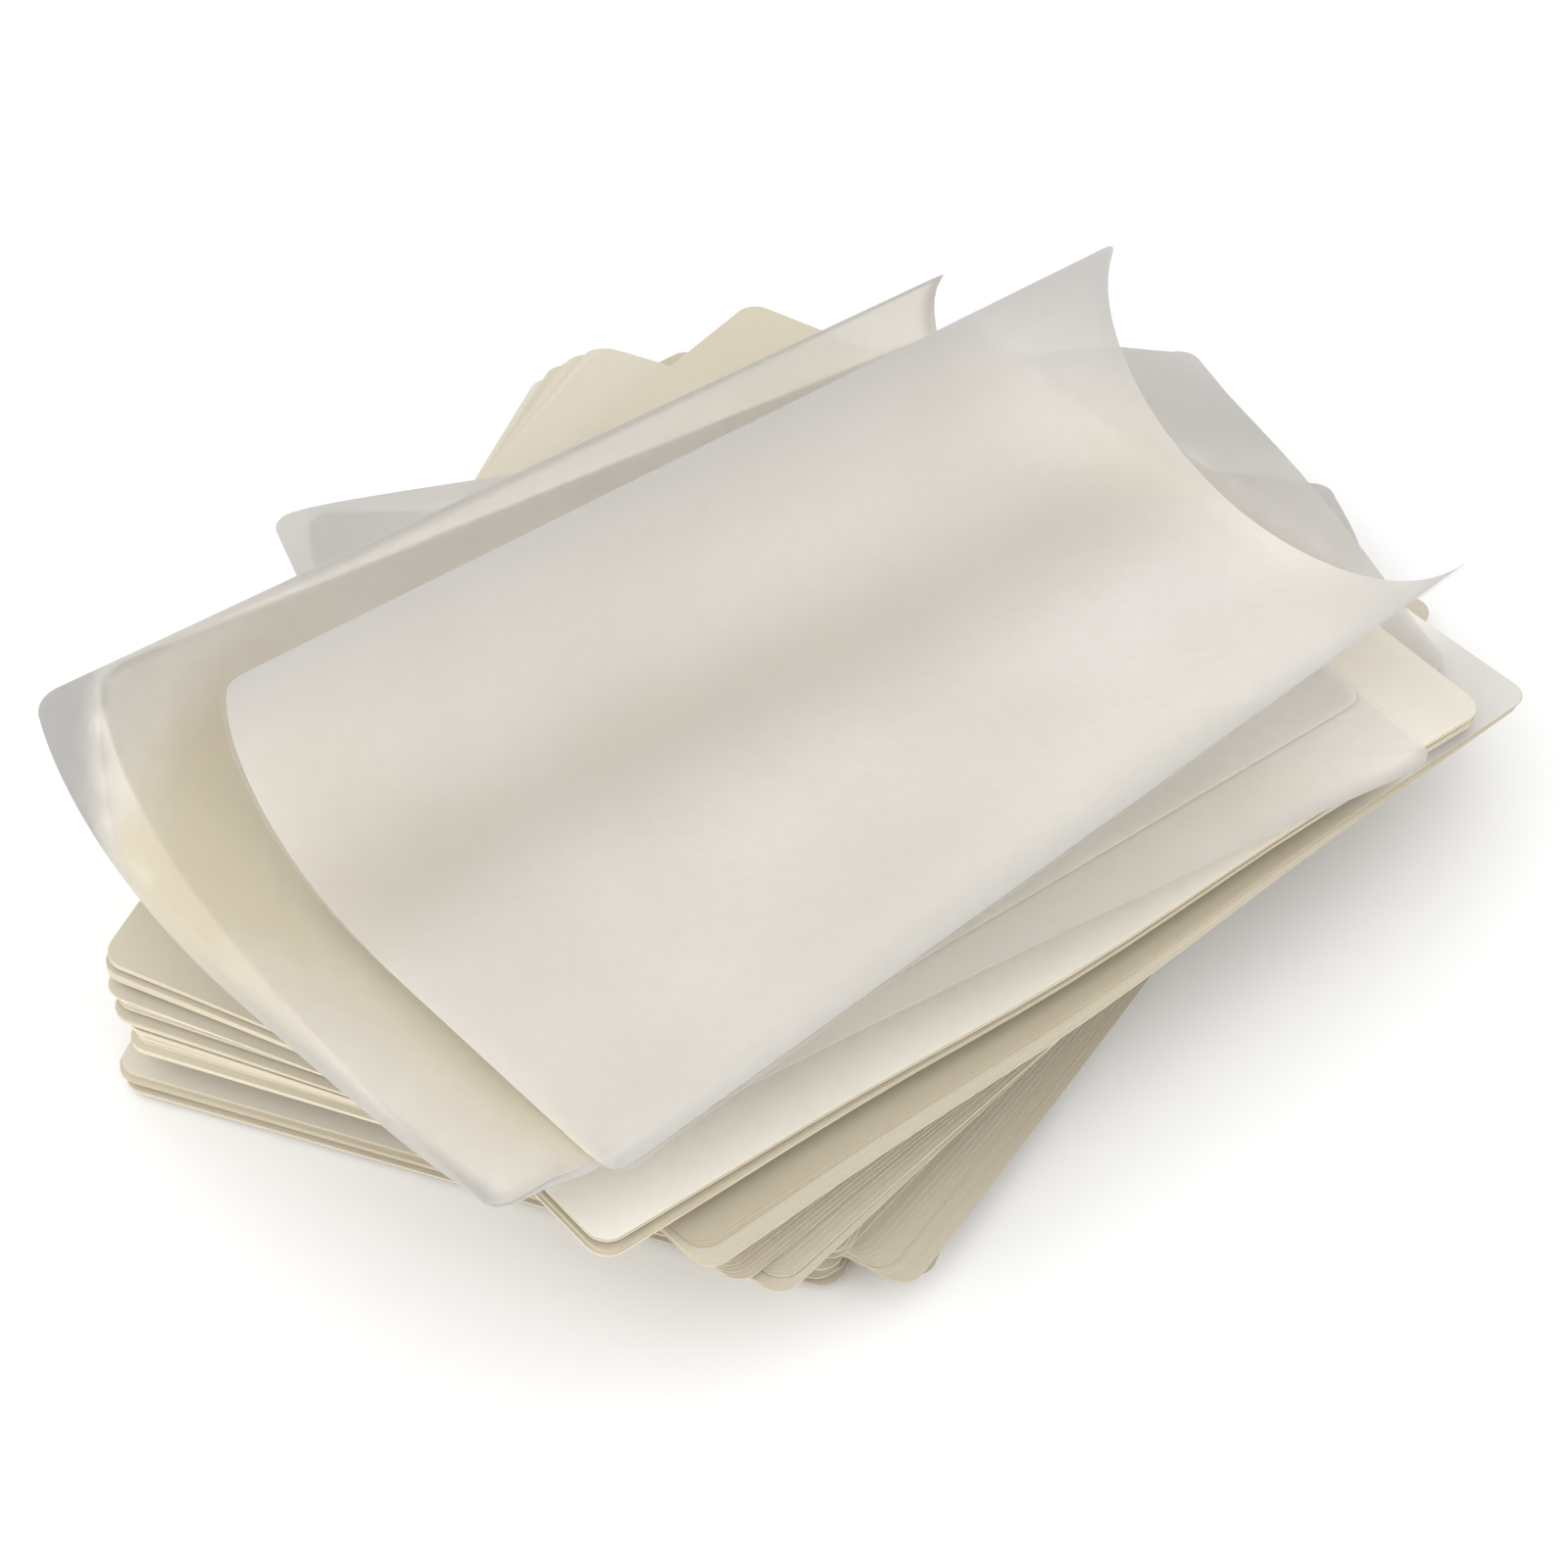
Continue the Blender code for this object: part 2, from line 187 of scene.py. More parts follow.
# Each bundle: turn in degrees, the corner that places it, where that corner is,
# then the heights of its under and upper face at the left, near, right, far, middle and soft spot.
BUNDLES = {
    "bundle_01": (
        71.0, "NL", (-52.8, -34.2),
        (0, 0, 0, 0, 0, 0), (2.6, 1.8, 0.4, 2.4, 2.0, 1.4),
    ),
    "bundle_02": (
        70.0, "NR", (10.6, -54.9),
        (2.9, 2.1, 0.7, 2.7, 2.3, 1.7), (3.6, 2.9, 1.0, 2.9, 3.2, 2.2),
    ),
    "bundle_03": (
        58.2, "NR", (9.8, -56.6),
        (3.9, 3.2, 1.3, 3.2, 3.5, 2.5), (4.3, 4.3, 1.7, 3.4, 4.1, 3.3),
    ),
    "bundle_04": (
        69.5, "NL", (-52.0, -33.4),
        (4.6, 4.6, 2.0, 3.7, 4.4, 3.6), (8.0, 5.5, 2.4, 3.9, 6.2, 4.6),
    ),
    "bundle_05": (
        68.0, "NL", (-52.6, -32.6),
        (8.3, 5.8, 2.7, 4.2, 6.5, 4.9), (11.5, 6.8, 3.1, 4.5, 8.0, 5.9),
    ),
    "bundle_06": (
        66.0, "NL", (-53.2, -31.8),
        (11.8, 7.1, 3.4, 4.8, 8.3, 6.2), (15.0, 8.2, 3.8, 5.2, 9.8, 7.2),
    ),
    "bundle_07": (
        48.4, "NR", (-1.0, -59.6),
        (15.3, 8.5, 4.9, 6.4, 10.1, 7.5), (15.7, 9.4, 5.5, 6.8, 10.8, 8.4),
    ),
    "bundle_08": (
        45.4, "NR", (-4.3, -60.0),
        (16.0, 9.7, 6.6, 7.2, 11.1, 8.7), (16.4, 11.0, 7.4, 7.7, 12.0, 9.6),
    ),
    "bundle_09": (
        56.0, "FL", (-3.0, 52.0),
        (16.7, 11.3, 7.9, 8.4, 12.3, 9.9), (17.2, 12.6, 8.8, 10.2, 13.1, 10.6),
    ),
    "bundle_10": (
        41.5, "FR", (61.6, -1.8),
        (18.1, 13.5, 12.1, 11.1, 14.0, 11.5), (18.5, 14.3, 12.6, 12.0, 14.7, 12.4),
    ),
    "bundle_11": (
        39.2, "NR", (-13.2, -63.6),
        (19.4, 15.2, 13.5, 12.9, 15.6, 13.3), (21.4, 17.5, 15.9, 14.8, 17.5, 15.4),
    ),
}

# How many sheets the scene gives each bundle, the swings in degrees of its lowest and its highest
# sheet, and the place in plan about which they swing.
FAN_PIVOT = (41.0, -13.0)
FRONT_PIVOT = (46.0, -8.0)
FAR_PIVOT = (55.0, 20.0)
PILES = {
    "bundle_01": (20, 0.5, -0.7, (-52.8, -34.2)),
    "bundle_02": (9, 0.0, -4.0, FAN_PIVOT),
    "bundle_03": (14, 0.0, -4.2, FAR_PIVOT),
    "bundle_04": (16, 0.4, -0.4, (-52.0, -33.4)),
    "bundle_05": (16, 0.5, -0.5, (-52.6, -32.6)),
    "bundle_06": (16, 0.6, -0.6, (-53.2, -31.8)),
    "bundle_07": (9, 2.2, -0.8, FRONT_PIVOT),
    "bundle_08": (9, 1.2, -0.8, FRONT_PIVOT),
    "bundle_09": (9, 0.5, -0.5, (-3.0, 52.0)),
    "bundle_10": (8, 0.6, -0.3, (61.6, -1.8)),
    "bundle_11": (22, 0.3, -0.3, (45.0, -15.0)),
}

# Each flat leaf: turn in degrees, the corner that places it, where that corner is, its length and
# width, the free heights of its corners NL, NR, FL and FR, what lies under it and the bundle over.
FLAT_LEAVES = {
    "leaf_right": (
        8.7, "FL", (48.4, 30.3), (90.0, 34.0), (15.8, 16.0, 7.4, 12.0),
        ("bundle_09",), "bundle_10",
    ),
    "leaf_back": (
        21.2, "NL", (-43.6, 15.7), (86.6, 50.0), (16.2, 15.2, 9.0, 13.5),
        ("bundle_10", "bundle_09", "leaf_right"), "bundle_11",
    ),
}

# Each curl: its leaf's length and width, middle x and y, turn in radians, height and lengthwise
# slope, then for its left and its right end: tilt, far curl, where that starts, near curl, where
# that starts.
CURLS = {
    "steep": (
        (88.8, 58.5), (4.38, -12.73, 0.693, 20.0, -0.063),
        (-0.053, 2.2, -5.2, 0.7, -23.5), (0.047, 1.96, -7.7, 1.1, 4.4),
    ),
    "wide": (
        (90.0, 61.5), (-6.82, -13.62, 0.7344, 19.1, -0.053),
        (-0.066, 1.68, -5.1, 0.26, -12.2), (-0.062, 2.4, 1.1, -0.14, 9.0),
    ),
}

# The loose leaves on top, from the uppermost down: the curl that each follows, how far it has slid
# along and across it, how far it is turned in degrees, and how many leaf pitches it lies below it.
LOOSE_LEAVES = {
    "leaf_top": ("steep", 0.0, 0.0, 0.0, 0),
    "leaf_tucked": ("steep", 0.0, -1.2, 0.9, 1),
    "leaf_lower": ("wide", 0.0, 0.0, 0.0, 0),
    "leaf_draped": ("wide", 2.5, -4.3, -5.3, 1),
}


def plan_axes(turn):
    """Unit vectors along the length and across the width of a leaf turned by so many degrees."""
    angle = math.radians(turn)
    along = np.array([math.cos(angle), math.sin(angle)])
    return along, np.array([-along[1], along[0]])


def plan_centre(turn, corner, place, size):
    """Middle of a leaf whose near/far (N, F) and left/right (L, R) corner lies at a place."""
    along, across = plan_axes(turn)
    side_along = 1.0 if corner[0] == "F" else -1.0
    side_across = 1.0 if corner[1] == "L" else -1.0
    shift = side_along * along * size[0] / 2 + side_across * across * size[1] / 2
    return np.array(place) - shift


def rounded_steps(half, count):
    """Grid places from -half to half whose first and last step are as long as the corner radius."""
    inner = np.linspace(CORNER_RADIUS - half, half - CORNER_RADIUS, count - 1)
    return np.concatenate([[-half], inner, [half]])


def leaf_net(size, cells):
    """Points (u, v) and faces of a rectangle with rounded corners; the loop is its rim in order."""
    half_u = size[0] / 2
    half_v = size[1] / 2
    us = rounded_steps(half_u, cells[0])
    vs = rounded_steps(half_v, cells[1])
    points = []
    index = {}

    def point(key, u, v):
        if key not in index:
            index[key] = len(points)
            points.append((u, v))
        return index[key]

    def node(i, j):
        return point((i, j), us[i], vs[j])

    def arc(i, j, step):
        """A rim point of the corner cell whose inner grid point is (i, j)."""
        quarters = {(True, True): 2, (False, True): 3, (False, False): 0, (True, False): 1}
        quarter = quarters[(i == 1, j == 1)]
        angle = 0.5 * math.pi * (quarter + step / CORNER_STEPS)
        u = us[i] + CORNER_RADIUS * math.cos(angle)
        v = vs[j] + CORNER_RADIUS * math.sin(angle)
        return point(("arc", i, j, step), u, v)

    last_i = cells[0]
    last_j = cells[1]
    ends = {}
    for i, j in ((1, 1), (last_i - 1, 1), (last_i - 1, last_j - 1), (1, last_j - 1)):
        left = i == 1
        low = j == 1
        edge_u = 0 if left else last_i
        edge_v = 0 if low else last_j
        first, second = ((edge_u, j), (i, edge_v)) if left == low else ((i, edge_v), (edge_u, j))
        index[("arc", i, j, 0)] = node(*first)
        index[("arc", i, j, CORNER_STEPS)] = node(*second)
        ends[(i, j)] = [arc(i, j, step) for step in range(CORNER_STEPS + 1)]

    faces = []
    for i in range(last_i):
        for j in range(last_j):
            if i in (0, last_i - 1) and j in (0, last_j - 1):
                inner = (1 if i == 0 else last_i - 1, 1 if j == 0 else last_j - 1)
                rim = ends[inner]
                faces += [(node(*inner), rim[step], rim[step + 1]) for step in range(CORNER_STEPS)]
            else:
                faces.append((node(i, j), node(i + 1, j), node(i + 1, j + 1), node(i, j + 1)))
    loop = ends[(1, 1)][:]
    loop += [node(i, 0) for i in range(2, last_i - 1)] + ends[(last_i - 1, 1)]
    loop += [node(last_i, j) for j in range(2, last_j - 1)] + ends[(last_i - 1, last_j - 1)]
    loop += [node(i, last_j) for i in range(last_i - 2, 1, -1)] + ends[(1, last_j - 1)]
    loop += [node(0, j) for j in range(last_j - 2, 1, -1)]
    return np.array(points), faces, loop


def plan_of(points, turn, centre):
    """Places in plan of a leaf's points, turned by so many degrees about its middle."""
    along, across = plan_axes(turn)
    return centre + points[:, :1] * along + points[:, 1:] * across


def shares(plan):
    """How much each of the six heights of a bundle counts at each plan point."""
    x = plan[:, 0] / PLAN_REACH
    y = (plan[:, 1] - PLAN_MIDDLE_Y) / PLAN_REACH
    sides = np.stack([np.clip(way, 0, 1) ** SAG_POWER for way in (-x, -y, x, y)], -1)
    sides = sides / np.maximum(1.0, sides.sum(-1, keepdims=True))
    five = np.concatenate([sides, 1.0 - sides.sum(-1, keepdims=True)], -1)
    away = (plan[:, 0] - SOFT_SPOT[0]) ** 2 + (plan[:, 1] - SOFT_SPOT[1]) ** 2
    soft = np.exp(-away / (2 * SOFT_SPOT[2] ** 2))[:, None]
    return np.concatenate([five * (1 - soft), soft], -1)


def bundle_height(plan, heights):
    """Height of a bundle's face at each plan point, from its six heights."""
    return shares(plan) @ np.array(heights, float)


class Footprint:
    """The outline of a bundle in plan, with the height of one of its faces."""

    def __init__(self, name, upper):
        turn, corner, place, under, over = BUNDLES[name]
        self.turn = turn
        self.centre = plan_centre(turn, corner, place, SHEET)
        self.heights = over if upper else under
        points, _, loop = leaf_net(SHEET, (45, 30))
        self.rim = plan_of(points[loop], turn, self.centre)
        self.rim_height = bundle_height(self.rim, self.heights)

    def limit(self, plan, way):
        """Height over the bundle (way 1) or under it (way -1), easing away beyond its edge."""
        along, across = plan_axes(self.turn)
        local = plan - self.centre
        inside = (np.abs(local @ along) < SHEET[0] / 2) & (np.abs(local @ across) < SHEET[1] / 2)
        away = np.linalg.norm(plan[:, None] - self.rim[None], axis=-1)
        eased = self.rim_height - way * drape_drop(away)
        outside = eased.max(1) if way > 0 else eased.min(1)
        return np.where(inside, bundle_height(plan, self.heights), outside)


def drape_drop(away):
    """How far a leaf falls at a distance beyond the edge that holds it."""
    onset = DRAPE_SLOPE * away ** 2 / (2 * DRAPE_ONSET)
    return np.where(away < DRAPE_ONSET, onset, DRAPE_SLOPE * (away - DRAPE_ONSET / 2))


def end_profile(half, tilt, far_curl, far_start, near_curl, near_start):
    """Sideways reach and rise across one end of a curled leaf, both zero at its middle."""
    across = np.linspace(-half - REACH_BEYOND, half + REACH_BEYOND, PROFILE_STEPS + 1)
    angle = tilt + far_curl * (np.clip(across - far_start, 0, None) / (half - far_start)) ** 2
    angle = angle - near_curl * (np.clip(near_start - across, 0, None) / (near_start + half)) ** 1.5
    step = across[1] - across[0]
    reach = np.concatenate([[0], np.cumsum((np.cos(angle[1:]) + np.cos(angle[:-1])) / 2 * step)])
    rise = np.concatenate([[0], np.cumsum((np.sin(angle[1:]) + np.sin(angle[:-1])) / 2 * step)])
    middle = PROFILE_STEPS // 2
    return across, reach - reach[middle], rise - rise[middle]


def curled_points(points, curl):
    """Places of a leaf whose two ends are bent across the width, each in its own way."""
    (length, width), (x, y, turn, height, slope), *end_values = CURLS[curl]
    share = points[:, 0] / length + 0.5
    ends = []
    for values in end_values:
        across, reach, rise = end_profile(width / 2, *values)
        ends.append([np.interp(points[:, 1], across, curve) for curve in (reach, rise)])
    reach = ends[0][0] * (1 - share) + ends[1][0] * share
    rise = ends[0][1] * (1 - share) + ends[1][1] * share
    plan_x = x + points[:, 0] * math.cos(turn) - reach * math.sin(turn)
    plan_y = y + points[:, 0] * math.sin(turn) + reach * math.cos(turn)
    return np.stack([plan_x, plan_y, height + slope * points[:, 0] + rise], -1)


class Layer:
    """A leaf already in place, which other leaves keep over (way 1) or under (way -1)."""

    def __init__(self, points, faces):
        self.tree = BVHTree.FromPolygons([Vector(point) for point in points], faces)
        self.points = points

    def limit(self, plan, way):
        """Height of the leaf's upper (way 1) or lower (way -1) side, easing away beyond its rim."""
        away = np.linalg.norm(plan[:, None] - self.points[None, :, :2], axis=-1)
        if way > 0:
            eased = (self.points[:, 2] - drape_drop(away)).max(1)
        else:
            eased = (self.points[:, 2] + drape_drop(away) * (UNDERSIDE_SLOPE / DRAPE_SLOPE)).min(1)
        start = 90.0 if way > 0 else -5.0
        for row, (x, y) in enumerate(plan):
            hit = self.tree.ray_cast(Vector((x, y, start)), Vector((0, 0, -way)))[0]
            if hit is not None:
                eased[row] = hit.z
        return eased


def normals_of(points, faces):
    """A unit normal for each point, the mean of those of its faces, on the leaf's upper side."""
    normals = np.zeros_like(points)
    for face in faces:
        corner = points[list(face)]
        normal = np.cross(corner[1] - corner[0], corner[2] - corner[0])
        normals[list(face)] += normal
    return normals / np.linalg.norm(normals, axis=1, keepdims=True)


def old_middle(name):
    """The middle of a bundle's box in plan, by the tables."""
    turn, corner, place = BUNDLES[name][:3]
    points, _, _ = leaf_net(SHEET, (10, 7))
    plan = plan_of(points, turn, plan_centre(turn, corner, place, SHEET))
    return (plan.min(0) + plan.max(0)) / 2


def origin_shift():
    """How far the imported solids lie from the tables, so that each piece lies on its solid."""
    low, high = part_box("bundle_01")
    now = (np.array(low)[:2] + np.array(high)[:2]) / 2 / MM
    return now - old_middle("bundle_01")


SHIFT = origin_shift()


def mesh_piece(name, points, faces, finish, node, values):
    """An object in place of a node, smooth over its faces and sharp at its edges."""
    placed = np.array(points) + np.array([SHIFT[0], SHIFT[1], 0.0])
    mesh = bpy.data.meshes.new(name)
    mesh.from_pydata((placed * MM).tolist(), [], faces)
    for key, value in values.items():
        mesh.attributes.new(key, "FLOAT", "POINT").data.foreach_set("value", value)
    mesh.shade_smooth()
    mesh.set_sharp_from_angle(angle=math.radians(40))
    obj = bpy.data.objects.new(name, mesh)
    bpy.context.scene.collection.objects.link(obj)
    mesh.materials.append(finish)
    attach(obj, "root")
    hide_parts(node)
    return obj


class Pile:
    """What lies in the pile so far, to find how much paper is close under a sheet."""

    def __init__(self):
        self.points = []
        self.faces = []
        self.weights = []

    def add(self, points, faces, weight):
        start = len(self.points)
        self.points += [tuple(point) for point in points]
        self.faces += [tuple(corner + start for corner in face) for face in faces]
        self.weights += [weight] * len(faces)

    def along(self, tree, place, ray):
        """The backing, cream and firmness that one ray finds on its way to the first bundle."""
        found = 0.0
        gone = 0.0
        glow = 1.0
        for _ in range(MOST_MET):
            _, _, face, distance = tree.ray_cast(place, ray, BACKING_REACH - gone)
            if distance is None:
                break
            gone += distance + RAY_STEP
            found += self.weights[face] * math.exp(-gone / BACKING_FADE)
            if self.weights[face] == BUNDLE_WEIGHT:
                cream = glow * (1.0 - math.exp(-gone / CREAM_ONSET)) * math.exp(-gone / CREAM_FADE)
                return min(found, 1.0), cream, math.exp(-gone / FIRM_FADE)
            glow *= SHEET_DIM if self.weights[face] < TWIN_WEIGHT else 1.0
            place = place + ray * (distance + RAY_STEP)
        return min(found, 1.0), 0.0, 0.0

    def beneath(self, points, normals):
        """Each point's backing, 0 over nothing and 1 on a pile, with its cream and firmness."""
        tree = BVHTree.FromPolygons(self.points, self.faces)
        found = np.zeros((len(points), 3))
        for index, (point, normal) in enumerate(zip(points, normals)):
            down = Vector(-normal).normalized() + Vector((0.0, 0.0, -1.0))
            down.normalize()
            side = down.orthogonal().normalized()
            other = down.cross(side)
            rays = [(down + first * side + second * other).normalized() for first, second in CONE]
            found[index] = np.mean([self.along(tree, Vector(point), ray) for ray in rays], axis=0)
        return found


PILE = Pile()


def slab(count, faces, loop, start):
    """Faces of a closed thin sheet whose lower, then upper points start at a place in a list."""
    made = [tuple(start + corner for corner in reversed(face)) for face in faces]
    made += [tuple(start + corner + count for corner in face) for face in faces]
    for first, second in zip(loop, loop[1:] + loop[:1]):
        made.append((start + first, start + second, start + second + count, start + first + count))
    return made


def swung(point, pivot, degrees):
    """A point in plan turned about a pivot."""
    turn = math.radians(degrees)
    away = np.array(point) - pivot
    return pivot + np.array([
        away[0] * math.cos(turn) - away[1] * math.sin(turn),
        away[0] * math.sin(turn) + away[1] * math.cos(turn),
    ])


def clusters_of(rng, count):
    """The number of the cluster that each sheet of a bundle clings to."""
    numbers = []
    while len(numbers) < count:
        numbers += [len(set(numbers))] * int(rng.integers(*CLUSTER_SIZES))
    return np.array(numbers[:count])


def uneven_steps(rng, cluster, open_gap):
    """Rising shares from 0 to 1, close within a cluster and with wider spaces between clusters."""
    starts = np.diff(cluster, prepend=cluster[0]) > 0
    spaces = 0.8 + 0.4 * rng.random(len(cluster)) + starts * open_gap * rng.random(len(cluster))
    steps = np.concatenate([[0.0], np.cumsum(spaces)])
    return steps / steps[-1]


def top_tone(name, points, plan, tone):
    """The tone of a bundle's top sheet: from 0 to 1 a face goes from darker to lighter, from 1 to 2
    it pales to the lit top and from 2 to 3 it greys. The bottom bundle's is raised as painted light
    out of the shade of the bundles over it, the top bundle's darkens towards its right end, and
    bundle_10's stays at the darkest face, painted shade under the top bundle's edge, but for its
    far right corner, greyed as painted shade of a sheet with nothing behind it.
    """
    # Painted light: the bottom bundle's top sheet is lightened out of the shade over it.
    if name == "bundle_01":
        return np.full(len(plan), BOTTOM_PAINTED_LIGHT_TONE)
    if name == "bundle_11":
        return np.interp(points[:, 0], [34.0, 40.0], [2.0, 1.4])
    # Painted shade: bundle_10's top stays darkest under the top bundle's edge, and its far right
    # corner greys as a sheet with nothing behind it.
    if name == "bundle_10":
        away = np.linalg.norm(plan - np.array(BUNDLES[name][2]), axis=1)
        return 3.0 * np.clip(1.6 - away / 16.0, 0.0, 1.0)
    return tone


def bundle_sheets(name, finish):
    """A bundle's many thin sheets, in clusters a little turned and shifted, which fill its form."""
    turn, corner, place, under, over = BUNDLES[name]
    count, first_swing, last_swing, pivot = PILES[name]
    rng = np.random.default_rng(SEED + int(name[-2:]))
    points, faces, loop = leaf_net(SHEET, BUNDLE_CELLS)
    centre = plan_centre(turn, corner, place, SHEET)
    cluster = clusters_of(rng, count)
    cluster_turn = rng.normal(0, CLUSTER_TURN, cluster.max() + 1)
    cluster_slide = rng.normal(0, CLUSTER_SLIDE, (cluster.max() + 1, 2))
    cluster_shade = rng.random(cluster.max() + 1)
    steps = [uneven_steps(rng, cluster, gap) for gap in OPEN_GAPS]
    every_point = []
    every_face = []
    every_shade = []
    for row in range(count):
        share = row / (count - 1)
        own_cluster = cluster[row]
        swing = first_swing * (1 - share) + last_swing * share + cluster_turn[own_cluster]
        swing = swing + rng.normal(0, SHEET_TURN)
        slide = cluster_slide[own_cluster] + rng.normal(0, SHEET_SLIDE, 2)
        own_centre = swung(centre, pivot, swing) + slide
        stretch = 1.0 + rng.normal(0, SHEET_STRETCH, 2)
        plan = plan_of(points * stretch, turn + swing, own_centre)
        part_of = shares(plan)
        low_share = part_of @ np.array([step[row] for step in steps])
        high_share = part_of @ np.array([step[row + 1] for step in steps])
        low = bundle_height(plan, under)
        room = bundle_height(plan, over) - low
        thick = np.minimum(THICKEST, FILLED_SHARE * (room * (high_share - low_share)))
        bottom = low + room * high_share - thick - SHEET_ROOM
        every_face += slab(len(plan), faces, loop, 2 * row * len(plan))
        every_point += [np.column_stack([plan, bottom]), np.column_stack([plan, bottom + thick])]
        shade = 0.8 * cluster_shade[own_cluster] + 0.2 * rng.random()
        # Painted light: the bundles on the stack's lit left side are lightened.
        if name in PAINTED_LIGHT_BUNDLES:
            shade = 0.4 + 0.6 * shade
        tone = np.full(len(plan), shade)
        if row == count - 1:
            tone = top_tone(name, points, plan, tone)
        every_shade += [tone, tone]
    made = np.concatenate(every_point)
    PILE.add(made, every_face, BUNDLE_WEIGHT)
    values = {"shade": np.concatenate(every_shade)}
    piece = mesh_piece(name + "_sheets", made, every_face, finish, name, values)


def cover_lower(value, points):
    """Keeps leaf_lower's cream, painted light from the pile, at its left end, and bares the corner
    that its twin leaves free, darker as painted shade.
    """
    along = points[:, 0] - points[:, 0].min()
    value[:, 1] *= np.interp(along, [CREAM_REACH, CREAM_REACH + CREAM_SPREAD], [1.0, CREAM_REST])
    covered = np.interp(along - twin_inset(points[:, 1]), [-1.5, 0.5], [0.0, 1.0])
    value *= covered[:, None]
    value[:, 0] -= BARE_SHADE_DEPTH * (1.0 - covered)


def least_clear(name, points):
    """How see-through a leaf is at least: all of leaf_tucked, and leaf_top's lifted near edge."""
    if name == "leaf_tucked":
        return np.full(len(points), HIDDEN_CLEAR)
    if name == "leaf_top":
        along = points[:, 0] - points[:, 0].min()
        lifted = LIFTED_CLEAR * np.interp(points[:, 1], [-16.0, -4.0], [1.0, 0.0])
        return lifted * np.interp(along, [66.0, 78.0], [1.0, 0.0])
    return np.zeros(len(points))


def leaf_piece(name, points, middle, faces, loop, finish, twin=None):
    """A loose sheet, with its twin if any, as thin slabs that know what lies close under them."""
    if twin is not None:
        PILE.add(twin, faces, TWIN_WEIGHT)
    value = PILE.beneath(middle, normals_of(middle, faces)) * np.array(HOLD[name])
    if name == TWIN_LEAF:
        cover_lower(value, points)
    layers = [(middle, least_clear(name, points))]
    if twin is not None:
        layers.insert(0, (twin, np.full(len(points), TWIN_CLEAR)))
    every_point = []
    every_face = []
    every_hidden = []
    for row, (surface, hidden) in enumerate(layers):
        offset = normals_of(surface, faces) * PAPER_THICKNESS / 2
        every_face += slab(len(points), faces, loop, 2 * row * len(points))
        every_point += [surface - offset, surface + offset]
        every_hidden += [hidden, hidden]
    PILE.add(middle, faces, TUCKED_WEIGHT if name == "leaf_tucked" else SHEET_WEIGHT)
    valley_shade = np.zeros(len(points))
    # Painted shade along the trough of leaf_top's curl.
    if name == "leaf_top":
        valley_shade = np.exp(-((points[:, 1] - VALLEY_SHADE_MIDDLE) / VALLEY_SHADE_WIDTH) ** 2)
    sides = 2 * len(layers)
    backing, cream, firm = np.concatenate([value] * sides).T
    values = {"backing": backing, "cream": cream, "firm": firm}
    values["valley_shade"] = np.tile(valley_shade, sides)
    values["hidden"] = np.concatenate(every_hidden)
    made = np.concatenate(every_point)
    piece = mesh_piece(name + "_sheet", made, every_face, finish, name, values)


def build_flat_leaves(finish):
    """The two leaves that lie flat between bundles and droop where nothing holds them."""
    room = GAP + LEAF_THICKNESS / 2
    placed = {}
    for name, (turn, corner, place, size, heights, below, above) in FLAT_LEAVES.items():
        points, faces, loop = leaf_net(size, FLAT_CELLS)
        plan = plan_of(points, turn, plan_centre(turn, corner, place, size))
        share_u = points[:, 0] / size[0] + 0.5
        share_v = points[:, 1] / size[1] + 0.5
        left = heights[1] * (1 - share_v) + heights[0] * share_v
        right = heights[3] * (1 - share_v) + heights[2] * share_v
        height = left * (1 - share_u) + right * share_u
        for under in below:
            if under in placed:
                height = np.maximum(height, placed[under].limit(plan, 1) + PITCH)
            else:
                height = np.maximum(height, Footprint(under, True).limit(plan, 1) + room)
        height = np.minimum(height, Footprint(above, False).limit(plan, -1) - room)
        middle = np.column_stack([plan, height])
        placed[name] = Layer(middle, faces)
        leaf_piece(name, points, middle, faces, loop, finish)


def shifted(places, known, shifts):
    """A height shift for each place on a curl, from those of the leaf that it follows."""
    away = ((places[:, None] - known[None]) ** 2).sum(-1)
    weight = 1.0 / (away + 0.5) ** 2
    return (weight * shifts).sum(1) / weight.sum(1)


def twin_inset(across):
    """How far the clinging sheet's left end stays behind the leaf's, at places across the leaf."""
    half = CURLS["wide"][0][1] / 2
    return TWIN_INSET * np.clip((across - TWIN_CROSSING) / (half - TWIN_CROSSING), 0.0, 1.0)


def twin_of(points, middle, faces):
    """A sheet clinging under a leaf, which leaves a corner of the leaf's left end uncovered."""
    half = points.max(0)
    places = points * (1.0 - TWIN_TRIM / half)
    reach = half[0] - places[:, 0]
    places[:, 0] = half[0] - reach * (1.0 - twin_inset(places[:, 1]) / (2 * half[0]))
    flat = [Vector((u, v, 0.0)) for u, v in points]
    tree = BVHTree.FromPolygons(flat, faces)
    surface = np.zeros_like(middle)
    for row, (u, v) in enumerate(places):
        place, _, face, _ = tree.find_nearest(Vector((u, v, 0.0)))
        share = poly_3d_calc([flat[corner] for corner in faces[face]], place)
        surface[row] = np.array(share) @ middle[list(faces[face])]
    return surface - normals_of(surface, faces) * TWIN_GAP


